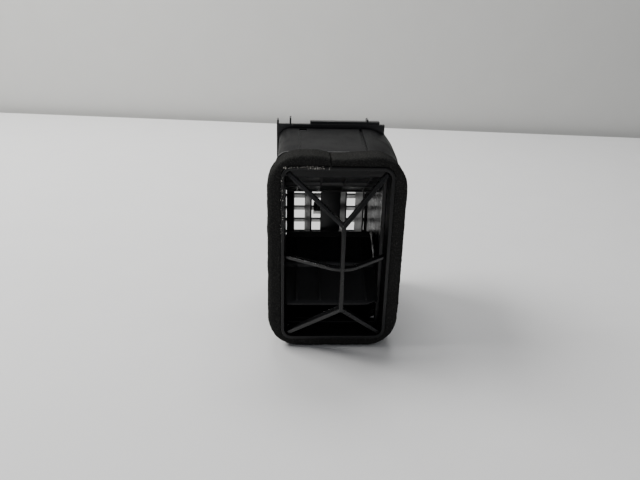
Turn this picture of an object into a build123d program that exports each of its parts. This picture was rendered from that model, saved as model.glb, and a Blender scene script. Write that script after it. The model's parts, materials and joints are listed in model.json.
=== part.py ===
from build123d import *
import math
import os

# Dashboard air outlet of a vehicle: a duct inlet with a foam gasket and guard ribs at the back,
# a two-piece housing with a pair of opposed shut-off blades, five upright vanes and eleven level
# vanes steered by one sliding knob, and a thumbwheel that works the blades through a rod and gears.
#
# Frame, in millimetres: the origin is the centre of the inlet's rim, +X is to the right seen
# from the inlet, +Y runs with the air from the inlet to the bezel, and +Z is up.

# ---------------------------------------------------------------- driving dimensions
WALL = 2.0                     # wall of the housing shells and of the spigot
SLIP = 0.05                    # radial clearance of every pin that turns

SPIGOT_HALF_X, SPIGOT_HALF_Z = 34.0, 58.0    # outside of the inlet spigot
SPIGOT_R = 7.0                 # its outside corner radius
RING_Y0, RING_Y1 = 21.0, 23.0  # rear ring that closes the housing round the spigot
LIP_Y, LIP_Z0 = (14.0, 16.0), 48.6           # lip across the top of the spigot, above the upper blade
RIDGE_Y = -18.0                # how far the guard's ridge stands out behind the rim
RIDGE_X, RIDGE_HALF_Z = 3.0, 27.0
RIB_T, RIB_DEPTH = 2.4, 4.5    # guard ribs: thickness and depth
BOW_X, BOW_ANGLE = 9.0, math.radians(36)     # the level rib bends over the ridge in an arc this wide

FOAM_HALF_X, FOAM_HALF_Z = 42.5, 64.5
FOAM_R = 21.0
FOAM_Y0, FOAM_Y1 = 1.0, 20.6

BODY_X0, BODY_X1 = -36.4, 45.0               # outside of the housing
BODY_Z0, BODY_Z1 = -57.0, 67.0
BODY_R_LEFT, BODY_R_RIGHT = 8.0, 22.0
BODY_Y0, BODY_Y1 = RING_Y1, 71.0
TAPER_X, TAPER_Y = 40.0, 52.0                # the right side draws in to TAPER_X at the rear
ROOF_Z0 = 61.5                               # the roof slopes down to this height at the rear
SEAM_X = 18.5                                # lapped joint between the two housing shells
SEAM_GROOVE, SEAM_LAP = 2.0, 3.6

AIR_X1 = 30.0                                # right side of the airway
PLATE_T = 1.6                                # gear plate between airway and gear space
AIR_X0 = BODY_X0 + WALL
AIR_Z0, AIR_Z1 = BODY_Z0 + WALL, BODY_Z1 - WALL

FLANGE_X0, FLANGE_X1 = -38.0, 45.0
FLANGE_Z0, FLANGE_Z1 = -64.1, 69.5
FEET_X, FOOT_Z0 = ((-30.0, -22.0), (14.0, 22.0)), -64.5           # two feet, level with the foam
BAR_X1 = 36.5                                # right end of the flange's top bar
FLANGE_T = 2.5
SEAT_T, SEAT_GAP = 0.8, 0.8                  # raised seat round the flange, clear of the housing
BEZEL_Y1 = 104.5
LIP_T = 2.5                                  # front lip round the outlet
OUTLET_Z0, OUTLET_Z1 = -54.0, 59.5           # height of the outlet
BROW_Y, BROW_DROP = 82.0, 4.6                # the bezel's top slopes down in front of BROW_Y
BEAD_X, BEAD_Y1, BEAD_H = -22.7, 62.0, 0.5   # low bead along the roof
SNAP_X, SNAP_Y, SNAP_HALF = (-22.4, -17.4), (64.5, 68.5), 4.0     # snap windows in the housing
FINGER_Y1 = 72.4                             # root of the bezel's snap fingers
RAIL_X = (-15.0, 33.0)
FINS = ((-37.2, 60.0, 72.2), (-28.6, 67.2, 73.6), (24.5, 67.2, 73.0))      # (X, bottom, top)
SCREWS = ((64.0, 38.0), (64.0, -30.0), (56.0, 27.0))              # (Y, Z) of the cover's screws
SCREW_R, SCREW_HEAD_R = 1.3, 2.6

DAMPER_Y = 36.0
DAMPER_Z = (38.5, -20.5)                     # upper and lower blade axes
BLADE_X0, BLADE_X1 = -31.4, 29.6
BLADE_REACH, BLADE_T = 27.0, 1.8
BLADE_REAR = (21.6, 33.7)                    # upper and lower blade, behind the axis
BLADE_CUT_LEFT, BLADE_CUT_RIGHT = (1.6, 0.9), (7.8, 3.0)          # rear corners cut to suit the walls
BLADE_REST = 27.0                            # blade angle from level at rest
SEAL_REACH = 29.2
SHAFT_R, PIVOT_R = 3.0, 2.5

MODULE, PRESSURE = 1.0, math.radians(20)
BLADE_TEETH, IDLER_TEETH = 23, 18
BACKLASH = 0.12
GEAR_X0, GEAR_T = 32.2, 3.0
POST_R = 2.0
SQUARE = 3.6                                 # square drive between blade and gear

WHEEL_Y, WHEEL_Z, WHEEL_R = 83.5, 4.0, 24.0
WHEEL_X0, WHEEL_X1 = 37.7, 42.5
CRANK_R, CRANK_PIN_R = 9.0, 1.5
HUB_R = 3.2                                  # the rod passes beside the hub at both ends of its travel
CRANK_BIAS = 19.0                            # keeps the crank off its dead points as it turns
ROD_X0, ROD_T, ROD_W = 35.6, 1.8, 5.4
AXLE_R = 1.5

VVANE_Y, VVANE_PITCH, VVANE_COUNT = 75.0, 12.6, 5
VVANE_REAR, VVANE_FRONT = 7.0, 11.0          # chord behind and in front of the axis
VVANE_REST = 12.0                            # vanes turned to the left at rest
POST_REACH = 10.0                            # drive post, in front of the vane's axis
WINDOW_HALF, WINDOW_BACK = 10.5, 3.2
VLINK_Z, VLINK_PIN = -14.0, 5.2
PADDLE_X, PADDLE_Z = (-6.25, 8.3), (-9.6, 24.0)

HVANE_Y, HVANE_PITCH, HVANE_COUNT = 95.0, 9.8, 11
HVANE_X0, HVANE_X1 = -31.5, 27.9
HVANE_HALF = 7.0
HVANE_REST = -28.0                           # front edges down at rest
HLINK_PIN = 5.3
AIR_X = (AIR_X0 + AIR_X1) / 2
AIR_Z = 0.7                                  # height of the middle level vane and its knob

os.makedirs("parts", exist_ok=True)


# ---------------------------------------------------------------- helpers
def block(x0, x1, y0, y1, z0, z1):
    """A box between two corners."""
    return Pos((x0 + x1) / 2, (y0 + y1) / 2, (z0 + z1) / 2) * Box(x1 - x0, y1 - y0, z1 - z0)


def outline(x0, x1, z0, z1, r_left, r_right):
    """A rectangle seen along Y, with one radius for its left corners and one for its right."""
    mid = (x0 + x1) / 2
    sheet = Pos(mid, (z0 + z1) / 2) * Rectangle(x1 - x0, z1 - z0)
    sheet = fillet([v for v in sheet.vertices() if v.X < mid], r_left)
    return fillet([v for v in sheet.vertices() if v.X > mid], r_right)


def along_y(sheet, y0, y1):
    """Extrude a sheet drawn in X and Z from y0 to y1."""
    return extrude(Plane.XZ.offset(-y0) * sheet, amount=-(y1 - y0))


def along_x(sheet, x0, x1):
    """Extrude a sheet drawn in Y and Z from x0 to x1."""
    return extrude(Plane.YZ.offset(x0) * sheet, amount=x1 - x0)


def rod_x(radius, x0, x1, y=0.0, z=0.0):
    """A round bar along X."""
    return along_x(Pos(y, z) * Circle(radius), x0, x1)


def rod_z(radius, z0, z1, x=0.0, y=0.0):
    """A round bar along Z."""
    return Pos(x, y, (z0 + z1) / 2) * Cylinder(radius, z1 - z0)


def teardrop(front, rear, r_front, r_rear):
    """A vane section along local X: a round nose at front, tapering to a thin tail at rear."""
    nose = Pos(front - r_front, 0) * Circle(r_front)
    tail = Pos(r_rear - rear, 0) * Circle(r_rear)
    return make_hull(nose.edges() + tail.edges())


def polar(radius, angle):
    return Vector(radius * math.cos(angle), radius * math.sin(angle))


def save(shape, node):
    """Write one node, as one solid or as a group of separate solids."""
    solids = shape.solids()
    export_step(solids[0] if len(solids) == 1 else Compound(children=list(solids)), f"parts/{node}.step")


# ---------------------------------------------------------------- housing shells
def roof_z(y):
    """Height of the housing's roof at a place along the duct."""
    return ROOF_Z0 + (BODY_Z1 - ROOF_Z0) * (y - BODY_Y0) / (BODY_Y1 - BODY_Y0)


def body_section(inset, right=BODY_X1, top=BODY_Z1):
    """Cross-section of the housing, drawn in from its outside by inset."""
    return outline(BODY_X0 + inset, right - inset, BODY_Z0 + inset, top - inset,
                   BODY_R_LEFT - inset, BODY_R_RIGHT - inset)


def body_solid(inset):
    """The housing's full volume: its roof and its right side draw in towards the inlet."""
    stations = ((BODY_Y0, TAPER_X), (TAPER_Y, BODY_X1), (BODY_Y1, BODY_X1))
    sections = [Plane.XZ.offset(-y) * body_section(inset, right, roof_z(y)) for y, right in stations]
    return loft(sections, ruled=True)


def main_housing():
    """Left wall, roof and floor of the duct, with its lap, stop ribs, pivots and snap windows."""
    shell = body_solid(0) - body_solid(WALL)
    lap = body_solid(WALL / 2 + 0.1) - body_solid(WALL)
    reach = block(BODY_X0 - 1, SEAM_X, BODY_Y0, BODY_Y1, BODY_Z0, BODY_Z1)
    lap_reach = block(SEAM_X - 1, SEAM_X + SEAM_LAP, BODY_Y0, BODY_Y1, BODY_Z0, BODY_Z1)
    part = (shell & reach) + (lap & lap_reach)
    # a low bead runs along the roof, and a rib stops each blade when it shuts
    ends = ((BODY_Y0, -BEAD_H), (BEAD_Y1, -BEAD_H), (BEAD_Y1, BEAD_H), (BODY_Y0, BEAD_H))
    bead = make_face(Polyline(*[(y, roof_z(y) + rise) for y, rise in ends], close=True))
    part += along_x(bead, BEAD_X - BEAD_H, BEAD_X + BEAD_H)
    ceiling = roof_z(DAMPER_Y) - WALL
    for z0, z1 in ((ceiling - 2.0, ceiling + 0.6), (AIR_Z0 - 0.5, AIR_Z0 + 2.1)):
        part += block(AIR_X0 + 4, SEAM_X + 2, DAMPER_Y + 1.4, DAMPER_Y + 3.0, z0, z1)
    for z in DAMPER_Z:
        part += rod_x(PIVOT_R + 2, AIR_X0 - 0.5, BLADE_X0 - 0.4, DAMPER_Y, z)
        part -= rod_x(PIVOT_R + SLIP, BODY_X0 - 1, BLADE_X0, DAMPER_Y, z)
    for z in (BODY_Z0, roof_z(SNAP_Y[0])):
        part -= block(*SNAP_X, *SNAP_Y, z - WALL - 1, z + WALL + 1)
    part -= block(BODY_X0 - 1, AIR_X0 + 1, *SNAP_Y, AIR_Z - SNAP_HALF, AIR_Z + SNAP_HALF)
    return part


def side_cover():
    """Right-hand shell: laps over the main housing and encloses the gears and the wheel."""
    shell = body_solid(0) - body_solid(WALL)
    skin = body_solid(0) - body_solid(WALL / 2)
    full = block(SEAM_X + SEAM_LAP + 0.3, BODY_X1 + 1, BODY_Y0, BODY_Y1, BODY_Z0, BODY_Z1)
    edge = block(SEAM_X + SEAM_GROOVE, SEAM_X + SEAM_LAP + 1, BODY_Y0, BODY_Y1, BODY_Z0, BODY_Z1)
    part = (shell & full) + (skin & edge)
    for y, z in SCREWS:
        part -= rod_x(SCREW_R + 0.25, BODY_X1 - WALL - 1, BODY_X1 + 1, y, z)
        part -= rod_x(SCREW_HEAD_R + 0.2, BODY_X1 - 1, BODY_X1 + 1, y, z)
    return part


def gear_plate():
    """Right wall of the airway, with the idlers' posts and the screw posts on its outer face."""
    inside = body_solid(WALL + 0.1)
    part = inside & block(AIR_X1, AIR_X1 + PLATE_T, BODY_Y0, BODY_Y1, BODY_Z0, BODY_Z1)
    face = AIR_X1 + PLATE_T
    for z in idler_z():
        part += rod_x(POST_R + 1.5, face - 0.5, GEAR_X0 - 0.1, DAMPER_Y, z)
        part += rod_x(POST_R, face, GEAR_X0 + GEAR_T + 1.4, DAMPER_Y, z)
    for y, z in SCREWS:
        part += rod_x(3.0, face - 0.5, BODY_X1 - WALL - 0.1, y, z)
        part -= rod_x(SCREW_R - 0.15, face + 1, BODY_X1, y, z)
    for z in DAMPER_Z:
        part -= rod_x(PIVOT_R + SLIP, AIR_X1 - 1, GEAR_X0, DAMPER_Y, z)
    return part


def housing_screws():
    """Three self-tapping screws that hold the side cover to the gear plate."""
    group = []
    for y, z in SCREWS:
        screw = rod_x(SCREW_HEAD_R, BODY_X1 - 0.9, BODY_X1 + 0.6, y, z)
        screw += rod_x(SCREW_R - 0.2, BODY_X1 - 10, BODY_X1 - 0.5, y, z)
        screw -= block(BODY_X1 - 0.2, BODY_X1 + 1, y - 0.4, y + 0.4, z - 1.5, z + 1.5)
        screw -= block(BODY_X1 - 0.2, BODY_X1 + 1, y - 1.5, y + 1.5, z - 0.4, z + 0.4)
        group.append(screw)
    return Compound(children=[s.solids()[0] for s in group])


# ---------------------------------------------------------------- inlet
def inlet_collar():
    """Rectangular spigot with the ring that closes the rear of the housing."""
    ring = outline(BODY_X0 - 1.4, TAPER_X + 1.2, BODY_Z0 - 0.6, ROOF_Z0 + 0.6, BODY_R_LEFT, 16.0)
    part = along_y(ring, RING_Y0, RING_Y1)
    tube = outline(-SPIGOT_HALF_X, SPIGOT_HALF_X, -SPIGOT_HALF_Z, SPIGOT_HALF_Z, SPIGOT_R, SPIGOT_R)
    part += along_y(tube, 0, RING_Y1)
    bore = outline(-SPIGOT_HALF_X + WALL, SPIGOT_HALF_X - WALL, -SPIGOT_HALF_Z + WALL,
                   SPIGOT_HALF_Z - WALL, SPIGOT_R - WALL, SPIGOT_R - WALL)
    part -= along_y(bore, -1, RING_Y0 - 3)
    part -= block(-SPIGOT_HALF_X + WALL, AIR_X1, RING_Y0 - 4, RING_Y1 + 1, AIR_Z0, SPIGOT_HALF_Z)
    part += block(1 - SPIGOT_HALF_X, SPIGOT_HALF_X - 1, *LIP_Y, LIP_Z0, SPIGOT_HALF_Z - 1)
    return part


def rib(start, end):
    """A straight guard rib between two points on its outer edge, as deep along Y as RIB_DEPTH."""
    a, b = Vector(*start), Vector(*end)
    run = b - a
    side = Vector(run.Z, 0, -run.X).normalized() * (RIB_T / 2)
    corners = [a + side, b + side, b - side, a - side]
    edge = make_face(Polyline(*corners, close=True))
    return extrude(edge, amount=RIB_DEPTH, dir=(0, 1, 0))


def level_rib():
    """Level guard rib: two straight arms from the walls, joined by an arc over the ridge."""
    foot_x, foot_y = SPIGOT_HALF_X - WALL - 0.1, 1.5
    bow_y = RIDGE_Y + BOW_X * math.tan(BOW_ANGLE / 2)
    left, right = (RIDGE_X - BOW_X, bow_y), (RIDGE_X + BOW_X, bow_y)
    outer = [Line((-foot_x, foot_y), left), ThreePointArc(left, (RIDGE_X, RIDGE_Y), right),
             Line(right, (foot_x, foot_y))]
    inner = [Pos(0, RIB_DEPTH) * edge for edge in outer]
    ends = [Line((x, foot_y), (x, foot_y + RIB_DEPTH)) for x in (-foot_x, foot_x)]
    thickness = RIB_T - 0.4
    return extrude(Pos(0, 0, -thickness / 2) * make_face(outer + inner + ends), amount=thickness)


def inlet_guard():
    """Tent-shaped guard: four corner ribs rise to an upright ridge, crossed by one level rib."""
    corner_x, corner_z = SPIGOT_HALF_X - WALL - 1.0, SPIGOT_HALF_Z - WALL - 1.0
    top, bottom = (RIDGE_X, RIDGE_Y, RIDGE_HALF_Z), (RIDGE_X, RIDGE_Y, -RIDGE_HALF_Z)
    part = rib(top, bottom) + level_rib()
    for side in (-1, 1):
        part += rib((side * corner_x, 1.5, corner_z), top)
        part += rib((side * corner_x, 1.5, -corner_z), bottom)
        for z in (-corner_z, corner_z):
            part += block(side * corner_x - 1.6, side * corner_x + 1.6, 1.5, 11.5, z - 1.6, z + 1.6)
    limits = outline(-SPIGOT_HALF_X + WALL + 0.1, SPIGOT_HALF_X - WALL - 0.1, -SPIGOT_HALF_Z + WALL + 0.1,
                     SPIGOT_HALF_Z - WALL - 0.1, SPIGOT_R - WALL, SPIGOT_R - WALL)
    return part & along_y(limits, RIDGE_Y - 5, RING_Y0)


def foam_gasket():
    """Soft foam strip wound once round the spigot."""
    outer = outline(-FOAM_HALF_X, FOAM_HALF_X, -FOAM_HALF_Z, FOAM_HALF_Z, FOAM_R, FOAM_R)
    gap = 0.2
    inner = outline(-SPIGOT_HALF_X - gap, SPIGOT_HALF_X + gap, -SPIGOT_HALF_Z - gap,
                    SPIGOT_HALF_Z + gap, SPIGOT_R + gap, SPIGOT_R + gap)
    return along_y(outer, FOAM_Y0, FOAM_Y1) - along_y(inner, FOAM_Y0 - 1, FOAM_Y1 + 1)


# ---------------------------------------------------------------- bezel and bearing rails
def bezel():
    """Front frame: rear flange with its bar, rail and fins, outer wall, wheel space and front lip."""
    flange = outline(FLANGE_X0, FLANGE_X1, FLANGE_Z0, BODY_Z1, 5.0, BODY_R_RIGHT)
    flange += Pos((FLANGE_X0 + BAR_X1) / 2, FLANGE_Z1 - 6) * Rectangle(BAR_X1 - FLANGE_X0, 12)
    part = along_y(flange, BODY_Y1, BODY_Y1 + FLANGE_T)
    part += along_y(flange - body_section(-SEAT_GAP), BODY_Y1 - SEAT_T, BODY_Y1)
    frame = outline(FLANGE_X0 + 0.6, FLANGE_X1, FLANGE_Z0 + 2, BODY_Z1, 8.0, BODY_R_RIGHT)
    shell = along_y(frame, BODY_Y1, BEZEL_Y1)
    brow = Polyline((BROW_Y, BODY_Z1), (BEZEL_Y1, BODY_Z1 - BROW_DROP), (BEZEL_Y1, BODY_Z1), close=True)
    shell -= along_x(make_face(brow), FLANGE_X0 - 1, FLANGE_X1 + 1)
    front = shell.faces().sort_by(Axis.Y)[-1]
    part += fillet(front.edges(), 2.0)
    # a rail stands on the flange's bar, and three locating fins beside it
    part += block(*RAIL_X, BODY_Y1, BODY_Y1 + 5, FLANGE_Z1 - 3, FLANGE_Z1 + 1.9)
    for x, bottom, top in FINS:
        part += block(x - 0.6, x + 0.6, BODY_Y1 - SEAT_T, BODY_Y1 + 7, bottom, top)
    for x0, x1 in FEET_X:
        part += block(x0, x1, BODY_Y1, BODY_Y1 + FLANGE_T, FOOT_Z0, FLANGE_Z0 + 1)
    part -= block(AIR_X0, AIR_X1, BODY_Y1 - 1, BROW_Y, AIR_Z0, AIR_Z1)
    part -= block(AIR_X0, AIR_X1, BODY_Y1, VVANE_Y + VVANE_FRONT + 0.6, AIR_Z0, AIR_Z1 - 1.9)
    part -= block(AIR_X0, AIR_X1, BODY_Y1, BEZEL_Y1 - LIP_T, AIR_Z0, OUTLET_Z1 + 1)
    outlet = outline(AIR_X0 + 1.4, AIR_X1 - 1, OUTLET_Z0, OUTLET_Z1, 3.0, 3.0)
    part -= along_y(outlet, BODY_Y1, BEZEL_Y1 + 1)
    wheel_half = WHEEL_R + 2.0
    part -= block(AIR_X1 + PLATE_T, FLANGE_X1 - 1.9, BODY_Y1 - 1, BEZEL_Y1 - LIP_T,
                  WHEEL_Z - wheel_half, WHEEL_Z + wheel_half)
    part -= block(WHEEL_X0 - 0.4, WHEEL_X1 + 0.4, BEZEL_Y1 - LIP_T - 1, BEZEL_Y1 + 1,
                  WHEEL_Z - 17, WHEEL_Z + 17)
    part -= rod_x(AXLE_R + 0.02, AIR_X1 + 0.4, FLANGE_X1 - 0.8, WHEEL_Y, WHEEL_Z)
    part += snap_finger_z(1, roof_z(SNAP_Y[0]) - WALL, AIR_Z1)
    part += snap_finger_z(-1, AIR_Z0, AIR_Z0)
    z0, z1 = AIR_Z - SNAP_HALF + 0.5, AIR_Z + SNAP_HALF - 0.5
    part += block(AIR_X0 + 0.1, AIR_X0 + 1.4, SNAP_Y[0] + 0.3, FINGER_Y1, z0, z1)
    part += block(AIR_X0 - 0.6, AIR_X0 + 1.4, BODY_Y1, FINGER_Y1, z0, z1)
    return part + block(BODY_X0 + 0.4, AIR_X0 + 1.4, SNAP_Y[0] + 0.3, SNAP_Y[1] - 0.3, z0, z1)


def snap_finger_z(side, z, root):
    """A finger that reaches back along the wall at z and hooks out through it, from the frame at root."""
    x0, x1 = SNAP_X[0] + 0.4, SNAP_X[1] - 0.4
    y0 = SNAP_Y[0] + 0.3
    arm = block(x0, x1, y0, FINGER_Y1, *sorted((z - side * 0.1, z - side * 1.2)))
    arm += block(x0, x1, BODY_Y1, FINGER_Y1, *sorted((root + side * 0.6, z - side * 1.2)))
    return arm + block(x0, x1, y0, SNAP_Y[1] - 0.3, *sorted((z - side * 1.2, z + side * (WALL - 0.5))))


def level_rail(x0, x1):
    """Bearing strip for the level vanes' pivots."""
    part = block(x0, x1, HVANE_Y - 5, HVANE_Y + 5, AIR_Z0 + 0.1, OUTLET_Z1 + 0.9)
    for i in range(HVANE_COUNT):
        part -= rod_x(1.2 + SLIP, x0 - 1, x1 + 1, HVANE_Y, hvane_z(i))
    return part


def upright_rail(z0, z1):
    """Bearing strip for the upright vanes' pivots."""
    part = block(AIR_X0 + 0.1, AIR_X1 - 0.1, FINGER_Y1 + 0.1, VVANE_Y + 4, z0, z1)
    for i in range(VVANE_COUNT):
        part -= rod_z(1.3 + SLIP, z0 - 1, z1 + 1, vvane_x(i), VVANE_Y)
    return part


def dash_clips():
    """Four bent spring-steel clips, two on each side of the housing."""
    group = []
    t = 0.5
    for wall_x, side in ((BODY_X0, -1), (BODY_X1, 1)):
        for z in (-18.0, 20.0):
            line = [(0.05, 70.5), (0.05, 57.0), (1.0, 57.0), (2.6, 62.0), (1.6, 67.6)]
            inner = [(1.6 - t, 67.6), (2.6 - t, 62.0), (1.0 - t / 2, 58.2), (0.05 + t, 58.2), (0.05 + t, 70.5)]
            points = [(wall_x + side * x, y) for x, y in line + inner]
            strip = make_face(Polyline(*points, close=True))
            group.append(extrude(Pos(0, 0, z - 4) * strip, amount=8, dir=(0, 0, 1)).solids()[0])
    return Compound(children=group)


# ---------------------------------------------------------------- level vanes and knob
def hvane_z(index):
    return AIR_Z + (index - (HVANE_COUNT - 1) / 2) * HVANE_PITCH


def hvane_place(index):
    return Pos(0, HVANE_Y, hvane_z(index)) * Rot(HVANE_REST, 0, 0)


def level_vane():
    """One level vane about its own pivot axis: blade, two pivots, rear notch and link pin."""
    part = along_x(teardrop(HVANE_HALF, HVANE_HALF, 1.1, 0.6), HVANE_X0, HVANE_X1)
    part -= block(HVANE_X0 - 1, HVANE_X0 + 4, -HVANE_HALF - 1, -2.2, -2, 2)
    part += rod_x(1.2, HVANE_X0 - 1.9, HVANE_X0 + 2)
    part += rod_x(1.2, HVANE_X1 - 2, HVANE_X1 + 1.9)
    part += rod_x(0.9, HVANE_X0 + 0.4, HVANE_X0 + 5, -HLINK_PIN)
    return part


def level_link():
    """Upright bar that ties the level vanes together."""
    centre = Pos(0, HVANE_Y, 0) * Rot(HVANE_REST, 0, 0) * Pos(0, -HLINK_PIN, 0)
    y, rise = centre.position.Y, centre.position.Z
    x0 = HVANE_X0 + 0.25
    ends = hvane_z(0) + rise - 2.4, hvane_z(HVANE_COUNT - 1) + rise + 2.4
    part = block(x0, x0 + 1.6, y - 1.6, y + 1.6, *ends)
    part = fillet([e for e in part.edges().filter_by(Axis.X)], 1.4)
    for i in range(HVANE_COUNT):
        part -= rod_x(0.9 + SLIP, x0 - 1, x0 + 3, y, hvane_z(i) + rise)
    return part


def knob_x():
    return AIR_X - POST_REACH * math.sin(math.radians(VVANE_REST))


def knob_body():
    """Slider that wraps the middle vane, open at the back for assembly."""
    half = 6.5
    part = block(-half, half, -7.2, 12.0, -3.6, 3.6)
    part = fillet(part.edges().filter_by(Axis.X), 2.0)
    front = part.faces().sort_by(Axis.Y)[-1]
    part = fillet(front.edges(), 0.8)
    slot = teardrop(HVANE_HALF + 0.15, HVANE_HALF + 2, 1.25, 0.9)
    return part - along_x(slot, -half - 1, half + 1)


def knob_fork():
    """Fork behind the slider, whose prongs straddle the drive post of the middle upright vane."""
    part = block(-5.5, 5.5, -8.0, -7.25, -2.0, 2.0)
    for side in (-1, 1):
        near, far = sorted((side * 1.45, side * 3.85))
        part += block(near, far, -14.6, -7.8, -1.3, 1.3)
    return part


def knob_grip():
    """Ribbed soft pad on the front of the slider."""
    part = block(-4.8, 4.8, 12.05, 12.7, -2.4, 2.4)
    for i in range(5):
        x = (i - 2) * 1.9
        part += block(x - 0.4, x + 0.4, 12.4, 13.3, -2.1, 2.1)
    return part


# ---------------------------------------------------------------- upright vanes
def vvane_x(index):
    return AIR_X + (index - (VVANE_COUNT - 1) / 2) * VVANE_PITCH


def vvane_place(index):
    return Pos(vvane_x(index), VVANE_Y, 0) * Rot(0, 0, VVANE_REST)


def upright_vane():
    """One upright vane about its own pivot axis, with its rear notch and link pin."""
    section = Rot(0, 0, 90) * teardrop(VVANE_FRONT, VVANE_REAR, 0.8, 0.6)
    z0, z1 = AIR_Z0 + 2.1, AIR_Z1 - 2.1
    part = extrude(Pos(0, 0, z0) * section, amount=z1 - z0, dir=(0, 0, 1))
    part += rod_z(1.3, z0 - 1.9, z0 + 2) + rod_z(1.3, z1 - 2, z1 + 1.9)
    part -= block(-2, 2, -VVANE_REAR - 1, -2.4, VLINK_Z - 3, VLINK_Z + 3)
    part += rod_z(0.9, VLINK_Z - 3.5, VLINK_Z + 3.5, 0, -VLINK_PIN) & block(
        -1, 1, -VVANE_REAR, 0, VLINK_Z - 3.5, VLINK_Z + 3.5)
    return part


def drive_vane():
    """The middle upright vane, with a window for the fork and the post that the fork drives."""
    part = upright_vane()
    part -= block(-2, 2, WINDOW_BACK, VVANE_FRONT + 1, AIR_Z - WINDOW_HALF, AIR_Z + WINDOW_HALF)
    return part + rod_z(1.1, AIR_Z - WINDOW_HALF - 1, AIR_Z + WINDOW_HALF + 1, 0, POST_REACH - 0.4)


def drive_paddle():
    """Stiffening plate clipped on the tail of the middle upright vane."""
    plate = outline(*PADDLE_X, *PADDLE_Z, 3.0, 3.0)
    return along_y(plate, -VVANE_REAR - 1.5, -VVANE_REAR - 0.05)


def upright_link():
    """Level bar that ties the upright vanes together."""
    tail = Rot(0, 0, VVANE_REST) * Pos(0, -VLINK_PIN, 0)
    x, y = tail.position.X, VVANE_Y + tail.position.Y
    part = block(vvane_x(0) + x - 2.4, vvane_x(VVANE_COUNT - 1) + x + 2.4, y - 1.6, y + 1.6,
                 VLINK_Z - 1.2, VLINK_Z + 1.2)
    part = fillet([e for e in part.edges().filter_by(Axis.Z)], 1.4)
    for i in range(VVANE_COUNT):
        part -= rod_z(0.9 + SLIP, VLINK_Z - 2, VLINK_Z + 2, vvane_x(i) + x, y)
    return part


# ---------------------------------------------------------------- shut-off blades and gears
def damper_place(index):
    """Upper blade: front edge down at rest.  Lower blade: front edge up."""
    return Pos(0, DAMPER_Y, DAMPER_Z[index]) * Rot((-1 if index == 0 else 1) * BLADE_REST, 0, 0)


def damper_blade(rear):
    """Flat blade about its shaft, with stiffening ribs, pivots and a square end for its gear."""
    (left_x, left_y), (right_x, right_y) = BLADE_CUT_LEFT, BLADE_CUT_RIGHT
    plan = [(BLADE_X0, BLADE_REACH), (BLADE_X1, BLADE_REACH), (BLADE_X1, right_y - rear),
            (BLADE_X1 - right_x, -rear), (BLADE_X0 + left_x, -rear), (BLADE_X0, left_y - rear)]
    sheet = Pos(0, 0, -BLADE_T / 2) * make_face(Polyline(*plan, close=True))
    part = extrude(sheet, amount=BLADE_T, dir=(0, 0, 1))
    part += rod_x(SHAFT_R, BLADE_X0, BLADE_X1)
    part += rod_x(PIVOT_R, BODY_X0 + 0.2, BLADE_X0 + 1)
    part += rod_x(PIVOT_R, BLADE_X1 - 1, GEAR_X0 - 0.1)
    square = SQUARE - 0.04
    part += block(GEAR_X0 - 0.2, GEAR_X0 + GEAR_T, -square / 2, square / 2, -square / 2, square / 2)
    span = BLADE_X1 - BLADE_X0
    for i in range(4):
        x = BLADE_X0 + span * (i + 0.5) / 4
        part += block(x - 0.6, x + 0.6, 3 - rear, BLADE_REACH - 3, -BLADE_T / 2 - 1.0, BLADE_T / 2 + 1.0)
    return part


def blade_seal():
    """Soft lip on the edge where the two blades meet."""
    half = BLADE_T / 2
    part = block(BLADE_X0 + 0.5, BLADE_X1 - 0.5, BLADE_REACH - 2.4, SEAL_REACH, -half - 0.7, half + 0.7)
    return part - block(BLADE_X0 - 1, BLADE_X1 + 1, BLADE_REACH - 4, BLADE_REACH + 0.02,
                        -half - 0.02, half + 0.02)


def involute(angle):
    return math.tan(angle) - angle


def gear_sheet(teeth, first_tooth):
    """Involute gear in Y and Z, with one tooth centred on the angle first_tooth."""
    pitch_r = MODULE * teeth / 2
    base_r = pitch_r * math.cos(PRESSURE)
    tip_r, root_r = pitch_r + 0.95 * MODULE, pitch_r - 1.25 * MODULE
    at_pitch = math.pi / (2 * teeth) - BACKLASH / (2 * pitch_r)

    def half_angle(radius):
        return at_pitch + involute(PRESSURE) - involute(math.acos(base_r / radius))

    flank = [(root_r, half_angle(base_r))] + [(r, half_angle(r)) for r in (base_r, pitch_r, tip_r)]
    starts = [first_tooth + i * 2 * math.pi / teeth for i in range(teeth)]
    edges = []
    for i, centre in enumerate(starts):
        rise = [polar(r, centre - a) for r, a in flank]
        fall = [polar(r, centre + a) for r, a in flank]
        following = polar(flank[0][0], starts[(i + 1) % teeth] - flank[0][1])
        edges += [Line(rise[0], rise[1]), ThreePointArc(*rise[1:]), Line(rise[3], fall[3]),
                  ThreePointArc(fall[3], fall[2], fall[1]), Line(fall[1], fall[0]),
                  Line(fall[0], following)]
    return make_face(edges)


def idler_z():
    """Heights of the two idlers, between the two blade gears."""
    step = MODULE * (BLADE_TEETH + IDLER_TEETH) / 2
    return DAMPER_Z[0] - step, DAMPER_Z[1] + step


def blade_gear(index, first_tooth):
    """Gear on a blade's square end."""
    sheet = gear_sheet(BLADE_TEETH, first_tooth)
    part = Pos(0, DAMPER_Y, DAMPER_Z[index]) * along_x(sheet, GEAR_X0, GEAR_X0 + GEAR_T)
    hole = block(GEAR_X0 - 1, GEAR_X0 + GEAR_T + 1, -SQUARE / 2, SQUARE / 2, -SQUARE / 2, SQUARE / 2)
    return part - damper_place(index) * hole


def crank_pin(y, z, x0, x1):
    """Pin on a crank, at the rod's rest angle."""
    angle = rod_angle() + math.pi / 2 - math.radians(CRANK_BIAS)
    return rod_x(CRANK_PIN_R, x0, x1, y + CRANK_R * math.cos(angle), z + CRANK_R * math.sin(angle))


def rod_angle():
    return math.atan2(WHEEL_Z - DAMPER_Z[1], WHEEL_Y - DAMPER_Y)


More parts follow.
